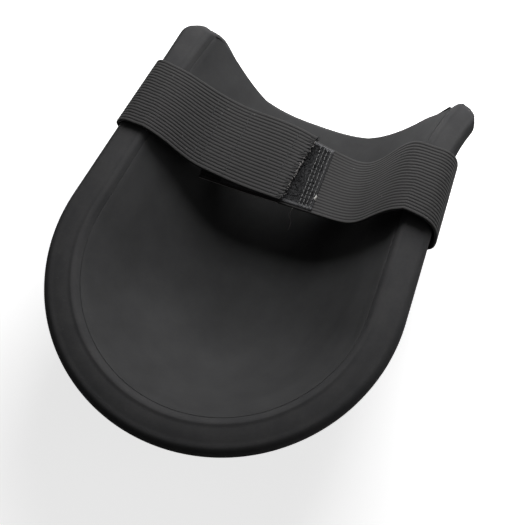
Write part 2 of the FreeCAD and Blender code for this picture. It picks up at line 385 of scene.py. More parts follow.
def horn_ends(section):
    """Y where each side ends, for each point of the section: the horns reach past the middle of
    the hollow's far edge, their corners are rounded, and the left inner wall reaches furthest."""
    radii, z = section[:, 0], section[:, 1]
    x = half_width(radii, tip_y)
    inner = float(half_width(hollow_radius, tip_y))
    outer = float(half_width(end_radius, tip_y))
    outside = np.clip((x - inner) / (outer - inner), 0, 1)
    top = np.clip((z - rim_height + horn_drop) / horn_drop, 0, 1)
    corner = np.exp(-((x - inner) / horn_corner_spread) ** 2) * top ** 3
    wall = np.sin(math.pi * top) * (1 - outside) ** 2
    ends = []
    for reach, set_back, cut, bulge in horns:
        ends.append(tip_y + reach * top - set_back * outside ** 1.5 - cut * corner + bulge * wall)
    return ends


side_ys = list(np.linspace(arc_y + 9.0, 84.0, 40))
shell = swept("moulded_cup", section, side_ys, 110, horn_ends(section), end_round)
print("cup faces:", len(shell.data.polygons))

# %% [markdown]
# ## The channel, the bridges and the tread
#
# The band lies in a channel moulded round the outside, so that nobody kneels on it. A thin
# bridge of rubber crosses the channel on each flank and keeps the band from dropping out. The
# flat that meets the roof is grooved. Each recess is a solid tool taken out of the cup.

# %% Carve the recesses
band_width = 44.0
band_from_tips = 23.5
band_far_y = tip_y - band_from_tips
band_near_y = band_far_y - band_width
channel_depth = 6.0
channel_side_clearance = 1.0
channel_top = 44.0
bridge_thickness = 3.3
bridge_bottom = 17.0
bridge_top = 26.0
groove_depth = 2.5
groove_width = 4.0
groove_pitch = 9.5
tread_margin = 6.0
beyond = 30.0
recess_overlap = 0.4
tunnel_overlap = 1.0
skin_overlap = 4.0
beyond_channel = 5.0


def wall_station_at(z, inset):
    """Where on the wall an inset line is at this height, found by halving."""
    low, high = 0.0, 1.0
    for _ in range(40):
        middle = (low + high) / 2
        radius, height, nr, nz = wall_point(middle)
        low, high = (middle, high) if height - nz * inset < z else (low, middle)
    return low


def outside_tool(name, inset, y0, y1, z0, z1, steps=18):
    """Everything outside the wall, at this inset, between two Ys and two heights."""
    stations = np.linspace(wall_station_at(z0, inset), wall_station_at(z1, inset), steps)
    line = [wall_point(u) for u in stations]
    inner = [(r - nr * inset, z - nz * inset) for r, z, nr, nz in line]
    rows = []
    for side in ("left", "right"):
        sign = -1 if side == "left" else 1
        for y in (y0, y1):
            row = [(float(plan_point(r, (side, y))[0]), y, z) for r, z in inner]
            row += [(sign * (end_radius + beyond), y, row[-1][2])]
            row += [(sign * (end_radius + beyond), y, row[0][2])]
            rows.append(row)
    count = len(rows[0])
    faces = []
    for block in (0, 1):
        first = block * 2 * count
        faces += grid_faces(2, count, closed=True, first=first)
        faces += [list(range(first, first + count)), list(range(first + count, first + 2 * count))]
    tool = new_mesh(name, [p for row in rows for p in row], faces, smooth=False)
    return clean(tool, merge=0.0001)


def joined(name, objects):
    """One object from several, which don't overlap."""
    bm = bmesh.new()
    for obj in objects:
        bm.from_mesh(obj.data)
        bpy.data.objects.remove(obj)
    mesh = bpy.data.meshes.new(name)
    bm.to_mesh(mesh)
    bm.free()
    obj = bpy.data.objects.new(name, mesh)
    bpy.context.scene.collection.objects.link(obj)
    return obj


channel_y = (band_near_y - channel_side_clearance, band_far_y + channel_side_clearance)
under = slab("channel_floor", *channel_y, -beyond, channel_depth)
carve(shell, clean(under))
for z0, z1 in ((channel_depth - recess_overlap, bridge_bottom), (bridge_top, channel_top)):
    carve(shell, outside_tool("channel_side", channel_depth, *channel_y, z0, z1))
tunnel = outside_tool("tunnel", channel_depth, *channel_y, bridge_bottom - tunnel_overlap,
                      bridge_top + tunnel_overlap)
keep = outside_tool("bridge_skin", bridge_thickness, channel_y[0] - beyond_channel,
                    channel_y[1] + beyond_channel, bridge_bottom - skin_overlap,
                    bridge_top + skin_overlap)
carve(shell, carve(tunnel, keep))

grooves = []
for y0, y1 in ((arc_y - tread_half_width, band_near_y - tread_margin),
               (band_far_y + tread_margin, tip_y)):
    count = int((y1 - y0 - groove_width) // groove_pitch) + 1
    first = (y0 + y1 - (count - 1) * groove_pitch - groove_width) / 2
    for i in range(count):
        y = first + i * groove_pitch
        grooves.append(clean(slab("groove", y, y + groove_width, -beyond, groove_depth)))
carve(shell, joined("grooves", grooves))
print("cup faces after carving:", len(shell.data.polygons))

# %% [markdown]
# ## The liner
#
# A skin of soft foam is bonded into the hollow. It is 2.5 mm thick and thins out to almost
# nothing at its top edge, so that only a faint line shows below the rim. It is a padded piece:
# foam that the knee presses into.

# %% Liner
liner_top = rim_height - liner_below_rim
liner_feather = 0.12
liner_edge_thickness = 0.35
liner_sink = 0.2


def liner_section():
    """Round the liner's section: its face from the middle outwards, then its back."""
    top_share = ((liner_top - hollow_floor) / hollow_depth) ** (1 / hollow_roundness)
    shares = np.linspace(0, top_share, 44)
    face, back = [], []
    for v in shares:
        r, z, nr, nz = hollow_point(v)
        left = min(1.0, (top_share - v) / liner_feather)
        eased = left * left * (3 - 2 * left)
        thickness = liner_edge_thickness + (liner_thickness - liner_edge_thickness) * eased
        face.append((r + nr * thickness, z + nz * thickness, nr, nz))
        back.append((r - nr * liner_sink, z - nz * liner_sink, -nr, -nz))
    r, z, nr, nz = hollow_point(top_share)
    edge = [(r + nr * 0.22 + 0.12, z + nz * 0.22 + 0.2, 0.7, 0.7)]
    return np.array(face + edge + back[::-1])


liner_lines = liner_section()
liner_ends = [ends - liner_short_of_end for ends in horn_ends(liner_lines)]
liner = swept("foam_liner", liner_lines, side_ys, 90, liner_ends, 1.2)
print("liner faces:", len(liner.data.polygons))

# %% [markdown]
# ## The line of the band
#
# The band is one strip of elastic, so it gets one line. From the free end of the left tab it
# runs over the left rim, down the flank, under the pad, up the right flank, over the right rim
# and back across the hollow below the tab. A near and a far edge are enough to describe it,
# because the elastic stays straight across its width. Smooth curves pass through a few points
# where something holds the band.

# %% Points along the band
band_thickness = 1.8
band_clearance = 0.3
rim_arch = 1.5
uv_scale = 0.01
flank_hang = 6.5
left_bend_inside = 0.6
right_bend_share = 0.96
tape_thickness = 1.2
layer_gap = 0.3
bend_gap = 0.8
closed_band = np.array([  # share of bend_x, then near and far edge above the rim
    (-1.00, 0.5, 0.5), (-0.87, -5.5, -4.0), (-0.80, -10.5, -8.0), (-0.70, -17.0, -14.0),
    (-0.51, -21.7, -21.5), (-0.28, -24.9, -23.4), (-0.06, -25.3, -25.0), (0.17, -24.0, -30.5),
    (0.37, -22.3, -34.5), (0.53, -20.3, -33.5), (0.65, -14.8, -21.5), (0.75, -4.5, -7.0),
    (0.85, 2.8, 3.0), (right_bend_share, 4.6, 4.8)])

hook_high = layer_gap / 2 + tape_thickness
loop_low = -hook_high
bend_x = float(half_width(hollow_radius, band_near_y)) + left_bend_inside
right_x = bend_x * right_bend_share


def smooth_curve(parameters, values):
    """Natural cubic spline through the values, as a function of the parameter."""
    t = np.asarray(parameters, float)
    v = np.asarray(values, float)
    n = len(t)
    h = np.diff(t)
    system = np.eye(n)
    right = np.zeros(v.shape)
    for i in range(1, n - 1):
        system[i, i - 1:i + 2] = (h[i - 1], 2 * (h[i - 1] + h[i]), h[i])
        right[i] = 6 * ((v[i + 1] - v[i]) / h[i] - (v[i] - v[i - 1]) / h[i - 1])
    bend = np.linalg.solve(system, right)

    def at(x):
        x = np.asarray(x, float)
        i = np.clip(np.searchsorted(t, x) - 1, 0, n - 2)
        a = (t[i + 1] - x) / h[i]
        b = (x - t[i]) / h[i]
        if v.ndim > 1:
            a, b = a[..., None], b[..., None]
        step = h[i][..., None] if v.ndim > 1 else h[i]
        curve = ((a ** 3 - a) * bend[i] + (b ** 3 - b) * bend[i + 1]) * step ** 2 / 6
        return a * v[i] + b * v[i + 1] + curve
    return at


closed_height = smooth_curve(closed_band[:, 0] * bend_x, rim_height + closed_band[:, 1:])


def closed_edges(x, offset):
    """(x, z) of the near and the far edge of a surface this far above the closed line."""
    step = 0.05
    z = closed_height(x)
    slope = (closed_height(x + step) - closed_height(x - step)) / (2 * step)
    slant = np.hypot(1, slope)
    return x[:, None] - slope / slant * offset, z + offset / slant


def rim_run():
    """Radius and height of the band's middle over a rim, from its outside to its inside."""
    stand_off = band_clearance + band_thickness / 2
    over = rim_height + stand_off + rim_arch
    corner = (rim_outer_round + stand_off + band_clearance) * math.sqrt(0.5)
    return [(end_radius + stand_off + 2 * band_clearance, rim_height - rim_outer_round),
            (end_radius - rim_outer_round + corner, rim_height - rim_outer_round + corner),
            (end_radius - 0.35 * rim_width, over), (end_radius - 0.60 * rim_width, over)]


def off_wall(u, inset):
    radius, z, nr, nz = wall_point(u)
    return radius - nr * inset, z - nz * inset


def under_points():
    """Radius, height and side of the band's middle from the left rim under the pad to the right."""
    stand_off = band_clearance + band_thickness / 2
    sunk = channel_depth - stand_off
    close = [off_wall(u, -stand_off - band_clearance) for u in (0.93, 0.87)]
    entry = [off_wall(0.78, 1.0)]
    inside = [off_wall(u, sunk) for u in (0.68, 0.58, 0.48, 0.38, 0.28, 0.18, 0.08)]
    inside += [(share * tread_half_width, sunk) for share in (0.9, 0.6, 0.3)]
    slack = [off_wall(0.74, 2.5), off_wall(0.80, -1.2)]
    slack += [off_wall(u, -hang * flank_hang) for u, hang in ((0.87, 0.7), (0.94, 1), (1, 0.5))]
    left = rim_run()[::-1] + close + entry + inside
    right = inside[::-1] + slack + rim_run()
    return [(r, z, -1) for r, z in left] + [(r, z, 1) for r, z in right]


def under_run(step):
    """(x, z) of the near and the far edge of the band's middle, from bend to bend, and the
    stations at which the band turns over the outer corners of the two rims."""
    held = under_points()
    left_z = rim_height + closed_band[0, 1:] + hook_high + band_thickness / 2
    right_z = rim_height + closed_band[-1, 1:] + loop_low - band_thickness / 2
    edges = []
    for k, y in enumerate((band_near_y, band_far_y)):
        points = [(-bend_x - bend_gap / 2, left_z[k])]
        points += [(side * float(half_width(r, y)), z) for r, z, side in held]
        points += [(right_x + bend_gap / 2, right_z[k])]
        edges.append(np.array(points))
    travelled = np.r_[0, np.cumsum(np.linalg.norm(np.diff(edges[0], axis=0), axis=1))]
    at = np.linspace(0, travelled[-1], int(travelled[-1] / step) + 1)
    corners = [int(np.searchsorted(at, travelled[k])) for k in (3, -4)]
    return [smooth_curve(travelled, edge)(at) for edge in edges], corners


# %% [markdown]
# Woven elastic doesn't lie as exactly as a drawing. Over the left rim its far edge has crept
# inwards, over the right rim its near edge stands up in a loose arch, in the middle it has slid
# a little towards the closed end, and the tail below the tab droops. These small drifts are
# added to the line and fade out down the flanks, before the band enters its channel.

# %% The whole band as one list of stations
step_closed = 1.0
step_under = 1.8
tab_reach = 14.0
fade_length = 36.0
tail_droop = 9.0
droop_from_x = 2.0
closed_drift = np.array([  # X, then the drift of the near edge and far edge in Y, near edge in Z
    (-71, 0, -4.5, 0), (-60, -0.4, -4.0, -0.4), (-45, -1.1, -2.4, -0.8), (-20, -1.6, -1.7, 0),
    (10, -1.6, -1.6, 0), (35, -1.7, -1.8, 0), (46, -1.5, -1.0, 0), (54, 0.1, 0, 0),
    (60, 2.0, 0, 0.8), (69, 4.6, 0, 3.4)])
tail_x = -0.6 * bend_x
left_xs = np.arange(tab_reach, -bend_x + bend_gap / 2, -step_closed)
right_xs = np.arange(right_x - bend_gap / 2, tail_x - 2 * step_closed, -step_closed)
tab_x, tab_z = closed_edges(left_xs, hook_high + band_thickness / 2)
tail_line_x, tail_line_z = closed_edges(right_xs, loop_low - band_thickness / 2)
run, rim_corners = under_run(step_under)
line_x = np.r_[tab_x, np.c_[run[0][:, 0], run[1][:, 0]], tail_line_x]
line_z = np.r_[tab_z, np.c_[run[0][:, 1], run[1][:, 1]], tail_line_z]
first_under = len(left_xs)
first_right = first_under + len(run[0])

drift_at = smooth_curve(closed_drift[:, 0], closed_drift[:, 1:])
from_left = np.arange(len(run[0])) * step_under
fade_left = 1 - np.clip(from_left / fade_length, 0, 1)
fade_right = fade_left[::-1]
fades = [f * f * (3 - 2 * f) for f in (fade_left, fade_right)]
drift_under = fades[0][:, None] * drift_at(closed_drift[0, 0]) \
    + fades[1][:, None] * drift_at(closed_drift[-1, 0])
drift = np.r_[drift_at(left_xs), drift_under, drift_at(right_xs)]
line_y = np.c_[band_near_y + drift[:, 0], band_far_y + drift[:, 1]]
line_z[:, 0] += drift[:, 2]
droop = np.clip((droop_from_x - right_xs) / (droop_from_x - tail_x), 0, 1) ** 1.6
line_z[first_right:] -= tail_droop * droop[:, None]

tangent_x = np.gradient(line_x, axis=0)
tangent_z = np.gradient(line_z, axis=0)
slant = np.hypot(tangent_x, tangent_z)
out_x, out_z = tangent_z / slant, -tangent_x / slant
middle = np.c_[line_x.mean(1), line_y.mean(1), line_z.mean(1)]
along = np.r_[0, np.cumsum(np.linalg.norm(np.diff(middle, axis=0), axis=1))]
print("band length:", round(along[-1]), "mm in", len(along), "stations")

# %% [markdown]
# ## The ribbed elastic
#
# The elastic is woven with about two dozen cords that run along it, and each one stands up as a
# rib with a narrow groove beside it. The ribs are modelled, because they catch the light, and the
# threads that cross them are only bump. A section with ribs on both faces is moved along the
# stations. The band is cut into pieces where it is stiff, away from the folds, and each piece
# that folds keeps the shape it has at rest.

# %% Section and surface of the band
rib_count = 23
rib_depth = 0.34
band_half = band_thickness / 2
rib_profile = ((0.0, 1.0), (0.12, 0.42), (0.30, 0.10), (0.5, 0.0), (0.70, 0.10), (0.88, 0.42))
edge_drop = 0.45


def band_section():
    """Side (0 near, 1 far) and height above the middle, round the band's section."""
    face = [((k + q) / rib_count, band_half - rib_depth * drop)
            for k in range(rib_count) for q, drop in rib_profile]
    face[0] = (0.0, band_half - edge_drop)
    face.append((1.0, band_half - edge_drop))
    back = [((k + q) / rib_count, -band_half + (0 if q else rib_depth))
            for k in range(rib_count) for q in (0, 0.5)]
    back[0] = (0.0, edge_drop - band_half)
    back.append((1.0, edge_drop - band_half))
    round_edge = 0.004
    return np.array(face + [(1 + round_edge, 0.0)] + back[::-1] + [(-round_edge, 0.0)])


band_columns = band_section()


def on_band(station, side, height):
    """Points at a height above the middle of the band, and the distance along it."""
    station, side, height = np.broadcast_arrays(
        *(np.asarray(a, float) for a in (station, side, height)))
    i = np.clip(station.astype(int), 0, len(along) - 2)
    f = station - i

    def mixed(table):
        near = table[i, 0] * (1 - f) + table[i + 1, 0] * f
        far = table[i, 1] * (1 - f) + table[i + 1, 1] * f
        return near * (1 - side) + far * side

    x = mixed(line_x) + mixed(out_x) * height
    z = mixed(line_z) + mixed(out_z) * height
    return np.stack((x, mixed(line_y), z), -1), along[i] * (1 - f) + along[i + 1] * f


def on_tab(x):
    """Station of the left half of the closed band at this X."""
    return (tab_reach - np.asarray(x, float)) / step_closed


def on_tail(x):
    """Station of the right half of the closed band at this X."""
    return first_right + (right_xs[0] - np.asarray(x, float)) / step_closed


def ribbon(name, starts, stops, rows, capped=(False, False)):
    """A length of the band. starts and stops give a station for each column of the section."""
    side, height = band_columns.T
    share = np.linspace(0, 1, rows)[:, None]
    starts = np.broadcast_to(starts, side.shape)
    stops = np.broadcast_to(stops, side.shape)
    points, travelled = on_band(starts * (1 - share) + stops * share, side, height)
    uvs = np.stack((travelled, np.broadcast_to(side * band_width, travelled.shape)), -1)
    count = len(side)
    faces = grid_faces(rows, count, closed=True)
    if capped[0]:
        faces.append(list(range(count)))
    if capped[1]:
        faces.append(list(range((rows - 1) * count, rows * count)))
    obj = new_mesh(name, points.reshape(-1, 3), faces, uvs=uvs.reshape(-1, 2) * uv_scale)
    bm = bmesh.new()
    bm.from_mesh(obj.data)
    bmesh.ops.recalc_face_normals(bm, faces=bm.faces)
    bm.to_mesh(obj.data)
    bm.free()
    return obj


# %% [markdown]
# The free end of the tab is cut askew with scissors, so each cord ends a little before or
# behind its neighbours. The tail under it is cut square.

# %% Pieces of the band
random_cut = random.Random(11)
tab_end_x = 0.093 * bend_x
tab_end_slant = 2.4
split_x = -50.0
cord_jitter = [random_cut.uniform(-0.28, 0.28) for _ in range(rib_count + 1)]


def cut_x(side):
    """X of the tab's cut end at this place across the band."""
    rib = np.clip(np.asarray(side, float) * rib_count, 0, rib_count - 1e-6)
    jitter = np.array(cord_jitter)[rib.astype(int)]
    wander = 0.25 * np.sin(7.0 * side + 0.6) + 0.15 * np.sin(17.0 * side)
    return tab_end_x + tab_end_slant * (side - 0.5) + jitter + wander


sides = band_columns[:, 0]
split = on_tab(split_x)
left_corner = first_under + rim_corners[0]
right_corner = first_under + rim_corners[1]
rows_tab = int(split - on_tab(tab_end_x)) + 1
band_tab = ribbon("band_tab", on_tab(cut_x(np.clip(sides, 0, 1))), split, rows_tab,
                  capped=(True, False))
band_left = ribbon("band_left_bend", split, left_corner, int(left_corner - split) + 1)
band_under = ribbon("band_under_pad", left_corner, right_corner,
                    int(right_corner - left_corner) + 1)
tail_end = on_tail(tail_x)
band_right = ribbon("band_right", right_corner, tail_end, int(tail_end - right_corner) + 1,
                    capped=(False, True))
print("band pieces:", [len(o.data.polygons) for o in (band_tab, band_left, band_under, band_right)])

# %% [markdown]
# ## Threads
#
# Threads, hooks and loops are all the same thing to model: a thin tube along a short path.
# One function sweeps a small polygon along many paths and returns them as a single mesh.

# %% Tubes along paths
def tubes(name, paths, radius, sides=6, taper=1.0):
    """Closed thin tubes along lists of points; taper scales the last section."""
    points, faces = [], []
    for path in paths:
        path = [Vector(p) for p in path]
        first = len(points)
        across = None
        for i, p in enumerate(path):
            ahead = path[min(i + 1, len(path) - 1)] - path[max(i - 1, 0)]
            ahead.normalize()
            if across is None:
                across = ahead.orthogonal().normalized()
            across = (across - ahead * across.dot(ahead)).normalized()
            other = ahead.cross(across)
            r = radius * (1 + (taper - 1) * i / max(len(path) - 1, 1))
            for k in range(sides):
                angle = 2 * math.pi * k / sides
                points.append(p + across * (r * math.cos(angle)) + other * (r * math.sin(angle)))
        faces += grid_faces(len(path), sides, closed=True, first=first)
        faces.append(list(range(first, first + sides))[::-1])
        last = first + (len(path) - 1) * sides
        faces.append(list(range(last, last + sides)))
    return new_mesh(name, points, faces)


def stitch(stations, sides_at, face, rise, steps=7):
    """Path of one stitch that rises out of the band's face and goes back into it."""
    path = []
    for i in range(steps):
        share = i / (steps - 1)
        lift = face + rise * math.sin(math.pi * share) ** 0.6 - 0.12
        station = stations[0] + (stations[1] - stations[0]) * share
        side = sides_at[0] + (sides_at[1] - sides_at[0]) * share
        path.append(on_band(station, side, lift)[0])
    return path


print("thread helpers ready")

# %% [markdown]
# ## Hook and loop tapes
#
# The loop tape is sewn on top of the right half and is mostly hidden below the tab. Past the
# tab's cut end a strip of it stays bare: a dense dark pile of tiny loops, then rows of thread
# that sew it down, then its folded end. The hook tape is sewn below the tab, and shows when the
# tab is peeled off.

# %% Loop tape
random_pile = random.Random(3)
patch_margin = 1.2
tape_seat = 0.12
tape_sides = (patch_margin / band_width, 1 - patch_margin / band_width)
loop_start_x, loop_end_x = -0.42 * bend_x, 0.315 * bend_x
loop_end_slant = 3.4
selvedge = 3.4


def tape(name, station_of, x0, x1_of, low, high, rows, columns=36, fold=0.0):
    """Thin tape on the band; x1_of gives its right end for each side. fold thickens that end."""
    side = np.linspace(*tape_sides, columns)
    ends = x1_of(side)
    share = np.linspace(0, 1, rows)[:, None]
    x = x0 + (ends - x0) * share
    near_end = np.clip(1 - (ends - x) / 1.6, 0, 1)
    grain = 0.05 * np.sin(side * 91.0 + x * 1.7)
    edge = np.clip(np.minimum(side - tape_sides[0], tape_sides[1] - side) * band_width / 0.7, 0, 1)
    top = high - 0.22 * (1 - edge) ** 2 + grain + fold * np.sqrt(near_end)
    upper, travelled = on_band(station_of(x), side, top)
    lower, _ = on_band(station_of(x), side, np.full(x.shape, low))
    round_x = ends + 0.35
    nose = on_band(station_of(round_x), side, (low + high + fold) / 2)[0][None]
    layers = np.concatenate((upper, nose, lower[::-1]))
    along_uv = np.concatenate((travelled, travelled[-1:] + 0.5, travelled[::-1] + 1.0))
    across_uv = np.broadcast_to(side * band_width, along_uv.shape)
    uvs = np.stack((along_uv, across_uv), -1).reshape(-1, 2) * uv_scale
    obj = new_mesh(name, layers.reshape(-1, 3), grid_faces(len(layers), columns), uvs=uvs)
    return fill_holes(clean(obj))


def loop_end_of(side):
    return loop_end_x - loop_end_slant * side


loop_base_low = band_half + tape_seat
loop_face = band_half + 0.62
loop_tape = tape("loop_tape", on_tail, loop_start_x, loop_end_of, loop_base_low, loop_face,
                 rows=60, fold=0.35)


def pile_loop(x, side):
    """One tiny loop of the pile: up, over and down again, in a random direction."""
    width = random_pile.uniform(0.35, 0.75)
    height = random_pile.uniform(0.45, 0.62)
    turn = random_pile.uniform(0, math.pi)
    lean = random_pile.uniform(-0.4, 0.4)
    path = []
    for i in range(6):
        angle = math.pi * i / 5
        reach = -math.cos(angle) * width / 2 + lean * math.sin(angle) * 0.3
        px = x + reach * math.cos(turn)
        ps = side + reach * math.sin(turn) / band_width
        path.append(on_band(on_tail(px), ps, loop_face - 0.05 + height * math.sin(angle))[0])
    return path


pile = []
pile_from_far_edge = 2.2
pile_from_end = 2.0
loops_bare, loops_covered = 1500, 1000
for i in range(loops_bare + loops_covered):
    side = random_pile.uniform(selvedge, band_width - pile_from_far_edge) / band_width
    right = float(loop_end_of(side)) - pile_from_end
    if i < loops_bare:
        x = random_pile.uniform(float(cut_x(side)) - 3.0, right)
    else:
        x = random_pile.uniform(loop_start_x + 0.6, float(cut_x(side)) - 2.0)
    pile.append(pile_loop(x, side))
loop_pile = tubes("loop_pile", pile, 0.07, sides=4)
print("loops in the pile:", len(pile))

# %% [markdown]
# Four rows of pale stitches cross the band at the loop tape's bare end and sew it down.

# %% Stitches that hold the loop tape
random_sew = random.Random(21)
stitch_length = 2.2
stitch_pitch = 2.7


def sewn_row(face, rise, station_of, x_of_side, margin, length=stitch_length,
             pitch=stitch_pitch, wander=0.12):
    """A row of stitches across the band; x_of_side gives the row's X at each side."""
    paths = []
    y = margin + 0.3
    while y + length < band_width - margin:
        s0, s1 = y / band_width, (y + length) / band_width
        x0 = x_of_side(s0) + random_sew.uniform(-wander, wander)
        x1 = x_of_side(s1) + random_sew.uniform(-wander, wander)
        paths.append(stitch((float(station_of(x0)), float(station_of(x1))), (s0, s1), face, rise))
        y += pitch
    return paths


loop_top = loop_face + 0.5
rows_at = (1.1, 3.2, 5.2, 7.1)
stitches = []
for back in rows_at:
    stitches += sewn_row(loop_top, 0.34, on_tail, lambda s, b=back: float(loop_end_of(s)) - b,
                         patch_margin)
loop_stitches = tubes("loop_tape_stitches", stitches, 0.21)
print("stitches on the loop tape:", len(stitches))

# %% [markdown]
# The hook tape lies under the tab. A row of dark stitches crosses the tab at each of its ends, and
# its hooks stand in a grid. Two more dark rows cross the band to the left of the tape.

# %% Hook tape and its stitches
hook_start_x, hook_end_x = -0.42 * bend_x, 0.015 * bend_x
hook_face = -(band_half + 0.35)


def hook_end_of(side):
    return np.full(np.shape(side), hook_end_x)


hook_tape = tape("hook_tape", on_tab, hook_start_x, hook_end_of, -(band_half + tape_seat),
                 hook_face, rows=44)
hooks = []
hook_pitch = 1.5
for i in range(int((hook_end_x - hook_start_x - 2) / hook_pitch)):
    for j in range(int((band_width - 2 * patch_margin - 2) / hook_pitch)):
        x = hook_start_x + 1.2 + i * hook_pitch
        side = (patch_margin + 1.2 + j * hook_pitch) / band_width
        stem = [(0, 0.0), (0.02, 0.4), (0.16, 0.66), (0.38, 0.68), (0.46, 0.5)]
        hooks.append([on_band(on_tab(x + dx), side, hook_face - dz)[0] for dx, dz in stem])
hook_field = tubes("hooks", hooks, 0.11, sides=4, taper=0.7)
rows = [sewn_row(band_half, 0.2, on_tab, lambda s, x=x: x, patch_margin, wander=0.05)
        for x in (hook_start_x + 1.2, hook_end_x - 2.4)]
hook_stitches = tubes("hook_tape_stitches", rows[0] + rows[1], 0.16)
fold_row_xs = (-43.5, -48.0)
rows = [sewn_row(band_half, 0.16, on_tab, lambda s, x=x: x, patch_margin, wander=0.2)
        for x in fold_row_xs]
band_stitches = tubes("band_stitches", rows[0] + rows[1], 0.15)
print("hooks:", len(hooks))

# %% [markdown]
# ## Cut ends
#
# Elastic frays, so a cut end is bound with an over-edge stitch: the thread goes over the end and
# back through the band. Some cord ends still stand out between the stitches.

# %% Over-edge stitches and frayed ends
random_fray = random.Random(5)
overcast_pitch = 2.4
overcast_reach = 2.6
overcast_path = ((1.0, 0.82), (0.9, 0.98), (0.5, 1.02), (0.1, 1.0), (-0.05, 0.6),
                 (-0.07, 0.0), (-0.05, -0.6), (0.1, -1.0), (0.6, -1.0))  # share of reach, height


def over_edge(station_of, end_of, inward, count):
    """Stitches from one face over the cut end to the other face."""
    paths = []
    for i in range(count):
        side = (i + 0.4) * overcast_pitch / band_width
        lean = random_fray.uniform(0.010, 0.022)
        end = float(end_of(side))
        path = []
        for share, height in overcast_path:
            x = end + inward * overcast_reach * share
            at = side + lean * (1 - share)
            path.append(on_band(float(station_of(x)), at, height)[0])
        paths.append(path)
    return paths


tab_overcast = tubes("tab_end_stitches", over_edge(on_tab, cut_x, -1, 18), 0.2)
tail_overcast = tubes("tail_end_stitches", over_edge(on_tail, lambda s: tail_x, 1, 18), 0.14)


def frayed(side, length, spread, lift):
    """A short cord end that stands out of the tab's cut."""
    start = float(cut_x(side)) - 0.3
    height = random_fray.uniform(-0.5, 0.7)
    dx, ds = length * random_fray.uniform(0.6, 1), spread * random_fray.uniform(-1, 1)
    path = []
    for share in (0, 0.4, 0.75, 1.0):
        bow = lift * share ** 2
        path.append(on_band(float(on_tab(start + dx * share)), side + ds * share / band_width,
                            height + bow)[0])
    return path


pale_ends = [frayed(random_fray.gauss(0.45, 0.2), 1.1, 0.6, 0.4) for _ in range(60)]
dark_ends = [frayed(0.96 + random_fray.uniform(-0.03, 0.03), 1.9, 2.6, 1.2) for _ in range(40)]
dark_ends += [frayed(random_fray.uniform(0.02, 0.98), 0.7, 0.4, 0.2) for _ in range(60)]
dark_ends += [frayed(random_fray.uniform(0.03, 0.1), 1.6, 1.2, 0.5) for _ in range(8)]
tab_fray_pale = tubes("tab_end_pale_threads", pale_ends, 0.23, sides=5, taper=0.7)
tab_fray_dark = tubes("tab_end_dark_threads", dark_ends, 0.08, sides=4, taper=0.5)
print("frayed ends:", len(pale_ends), "pale,", len(dark_ends), "dark")

# %% [markdown]
# A pale line runs along the tail's near edge, below the tab, where the black edge catches the
# light. Two pale threads on that edge paint it in as a highlight.

# %% Painted highlight on the tail's edge
edge_stations = on_tail(np.linspace(tail_x + 0.3, 4.0, 60))
highlight_paths = [[on_band(float(s), side, 0.2)[0] for s in edge_stations] for side in (0.0, 0.016)]
tail_edge_highlight = tubes("tail_edge_painted_highlight", highlight_paths, 0.3)

# %% [markdown]
# One fine thread has worked loose from the near edge of the lower band and hangs in the hollow,
# and a fleck of lint is caught in the pile. Small things like these tell a used pad from a
# drawing of one.

# %% Loose thread and lint
loose_root = on_band(float(on_tail(12.5)), 0.0, 0.3)[0]
loose_shape = [(0.0, 0.0, 0.0), (-0.2, -0.8, -0.6), (-0.6, -2.2, -2.6), (-0.4, -3.6, -5.2),
               (0.3, -4.9, -8.0), (0.5, -6.4, -10.6), (0.0, -8.0, -13.0)]
loose = smooth_curve(range(len(loose_shape)), loose_root + np.array(loose_shape))
loose_thread = tubes("loose_thread", [loose(np.linspace(0, 6, 40))], 0.18)
lint_root = on_band(float(on_tail(loop_end_x - 0.6)), 0.22, loop_top)[0]
lint_paths = []
lint_threads = 9
for _ in range(lint_threads):
    path = [lint_root + np.array([random_fray.gauss(0, 0.3), random_fray.gauss(0, 0.75),
                                  random_fray.gauss(0, 0.3)]) for _ in range(4)]
    lint_paths.append([np.maximum(p, (-1e3, -1e3, lint_root[2] - 0.2)) for p in path])
lint = tubes("lint_fleck", lint_paths, 0.12, sides=5)
print("loose thread and lint placed")

# %% [markdown]
# ## What each piece rides on
#
# The cup, the liner and the band under the pad stay with the pad. The loop tape, its pile and
# stitches, the tail's threads, the loose thread and the lint ride on the right strap, and the frayed
# cords on the left tab. The lengths of the band over each rim and at the tab, with the hook tape,
# its hooks and the stitches on the tab, keep their place baked into their meshes and ride on no body.


def fold(obj, name):
    """Bakes the piece's placement into its mesh."""
    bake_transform(obj)


for obj, nodes in ((shell, ("moulded_shell",)), (liner, ("cavity_liner",)),
                   (band_under, ("elastic_band_under_run",))):
    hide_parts(*nodes)
    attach(obj, "pad")

for obj, name, nodes in (
        (band_left, "left", ("strap_left_span",)), (band_tab, "peel", ("strap_left_tab",)),
        (band_right, "right", ("strap_right_span",)), (hook_tape, "peel", ("hook_patch",)),
        (hook_field, "peel", ("hook_patch",)),
        (hook_stitches, "peel", ("hook_patch_stitching",)), (band_stitches, "peel", ()),
        (tab_overcast, "peel", ("tab_end_overcast",))):
    if nodes:
        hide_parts(*nodes)
    fold(obj, name)

for obj, body, nodes in (
        (loop_tape, "right_strap", ("loop_patch",)), (loop_pile, "right_strap", ("loop_patch",)),
        (loop_stitches, "right_strap", ("loop_patch_stitching",)),
        (tail_overcast, "right_strap", ("tail_end_overcast",)),
        (tab_fray_pale, "left_tab", ()), (tab_fray_dark, "left_tab", ()),
        (tail_edge_highlight, "right_strap", ()), (loose_thread, "right_strap", ()), (lint, "right_strap", ())):
    if nodes:
        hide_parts(*nodes)
    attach(obj, body)

# %% [markdown]
# ## Surface effects
#
# Four effects are shared by the materials: a fine grain, a broad mottling, a weave that follows
# the band, and dust. Each is a node group that gives out only numbers, so a material can use it
# for colour, for roughness or for the height of its bump.

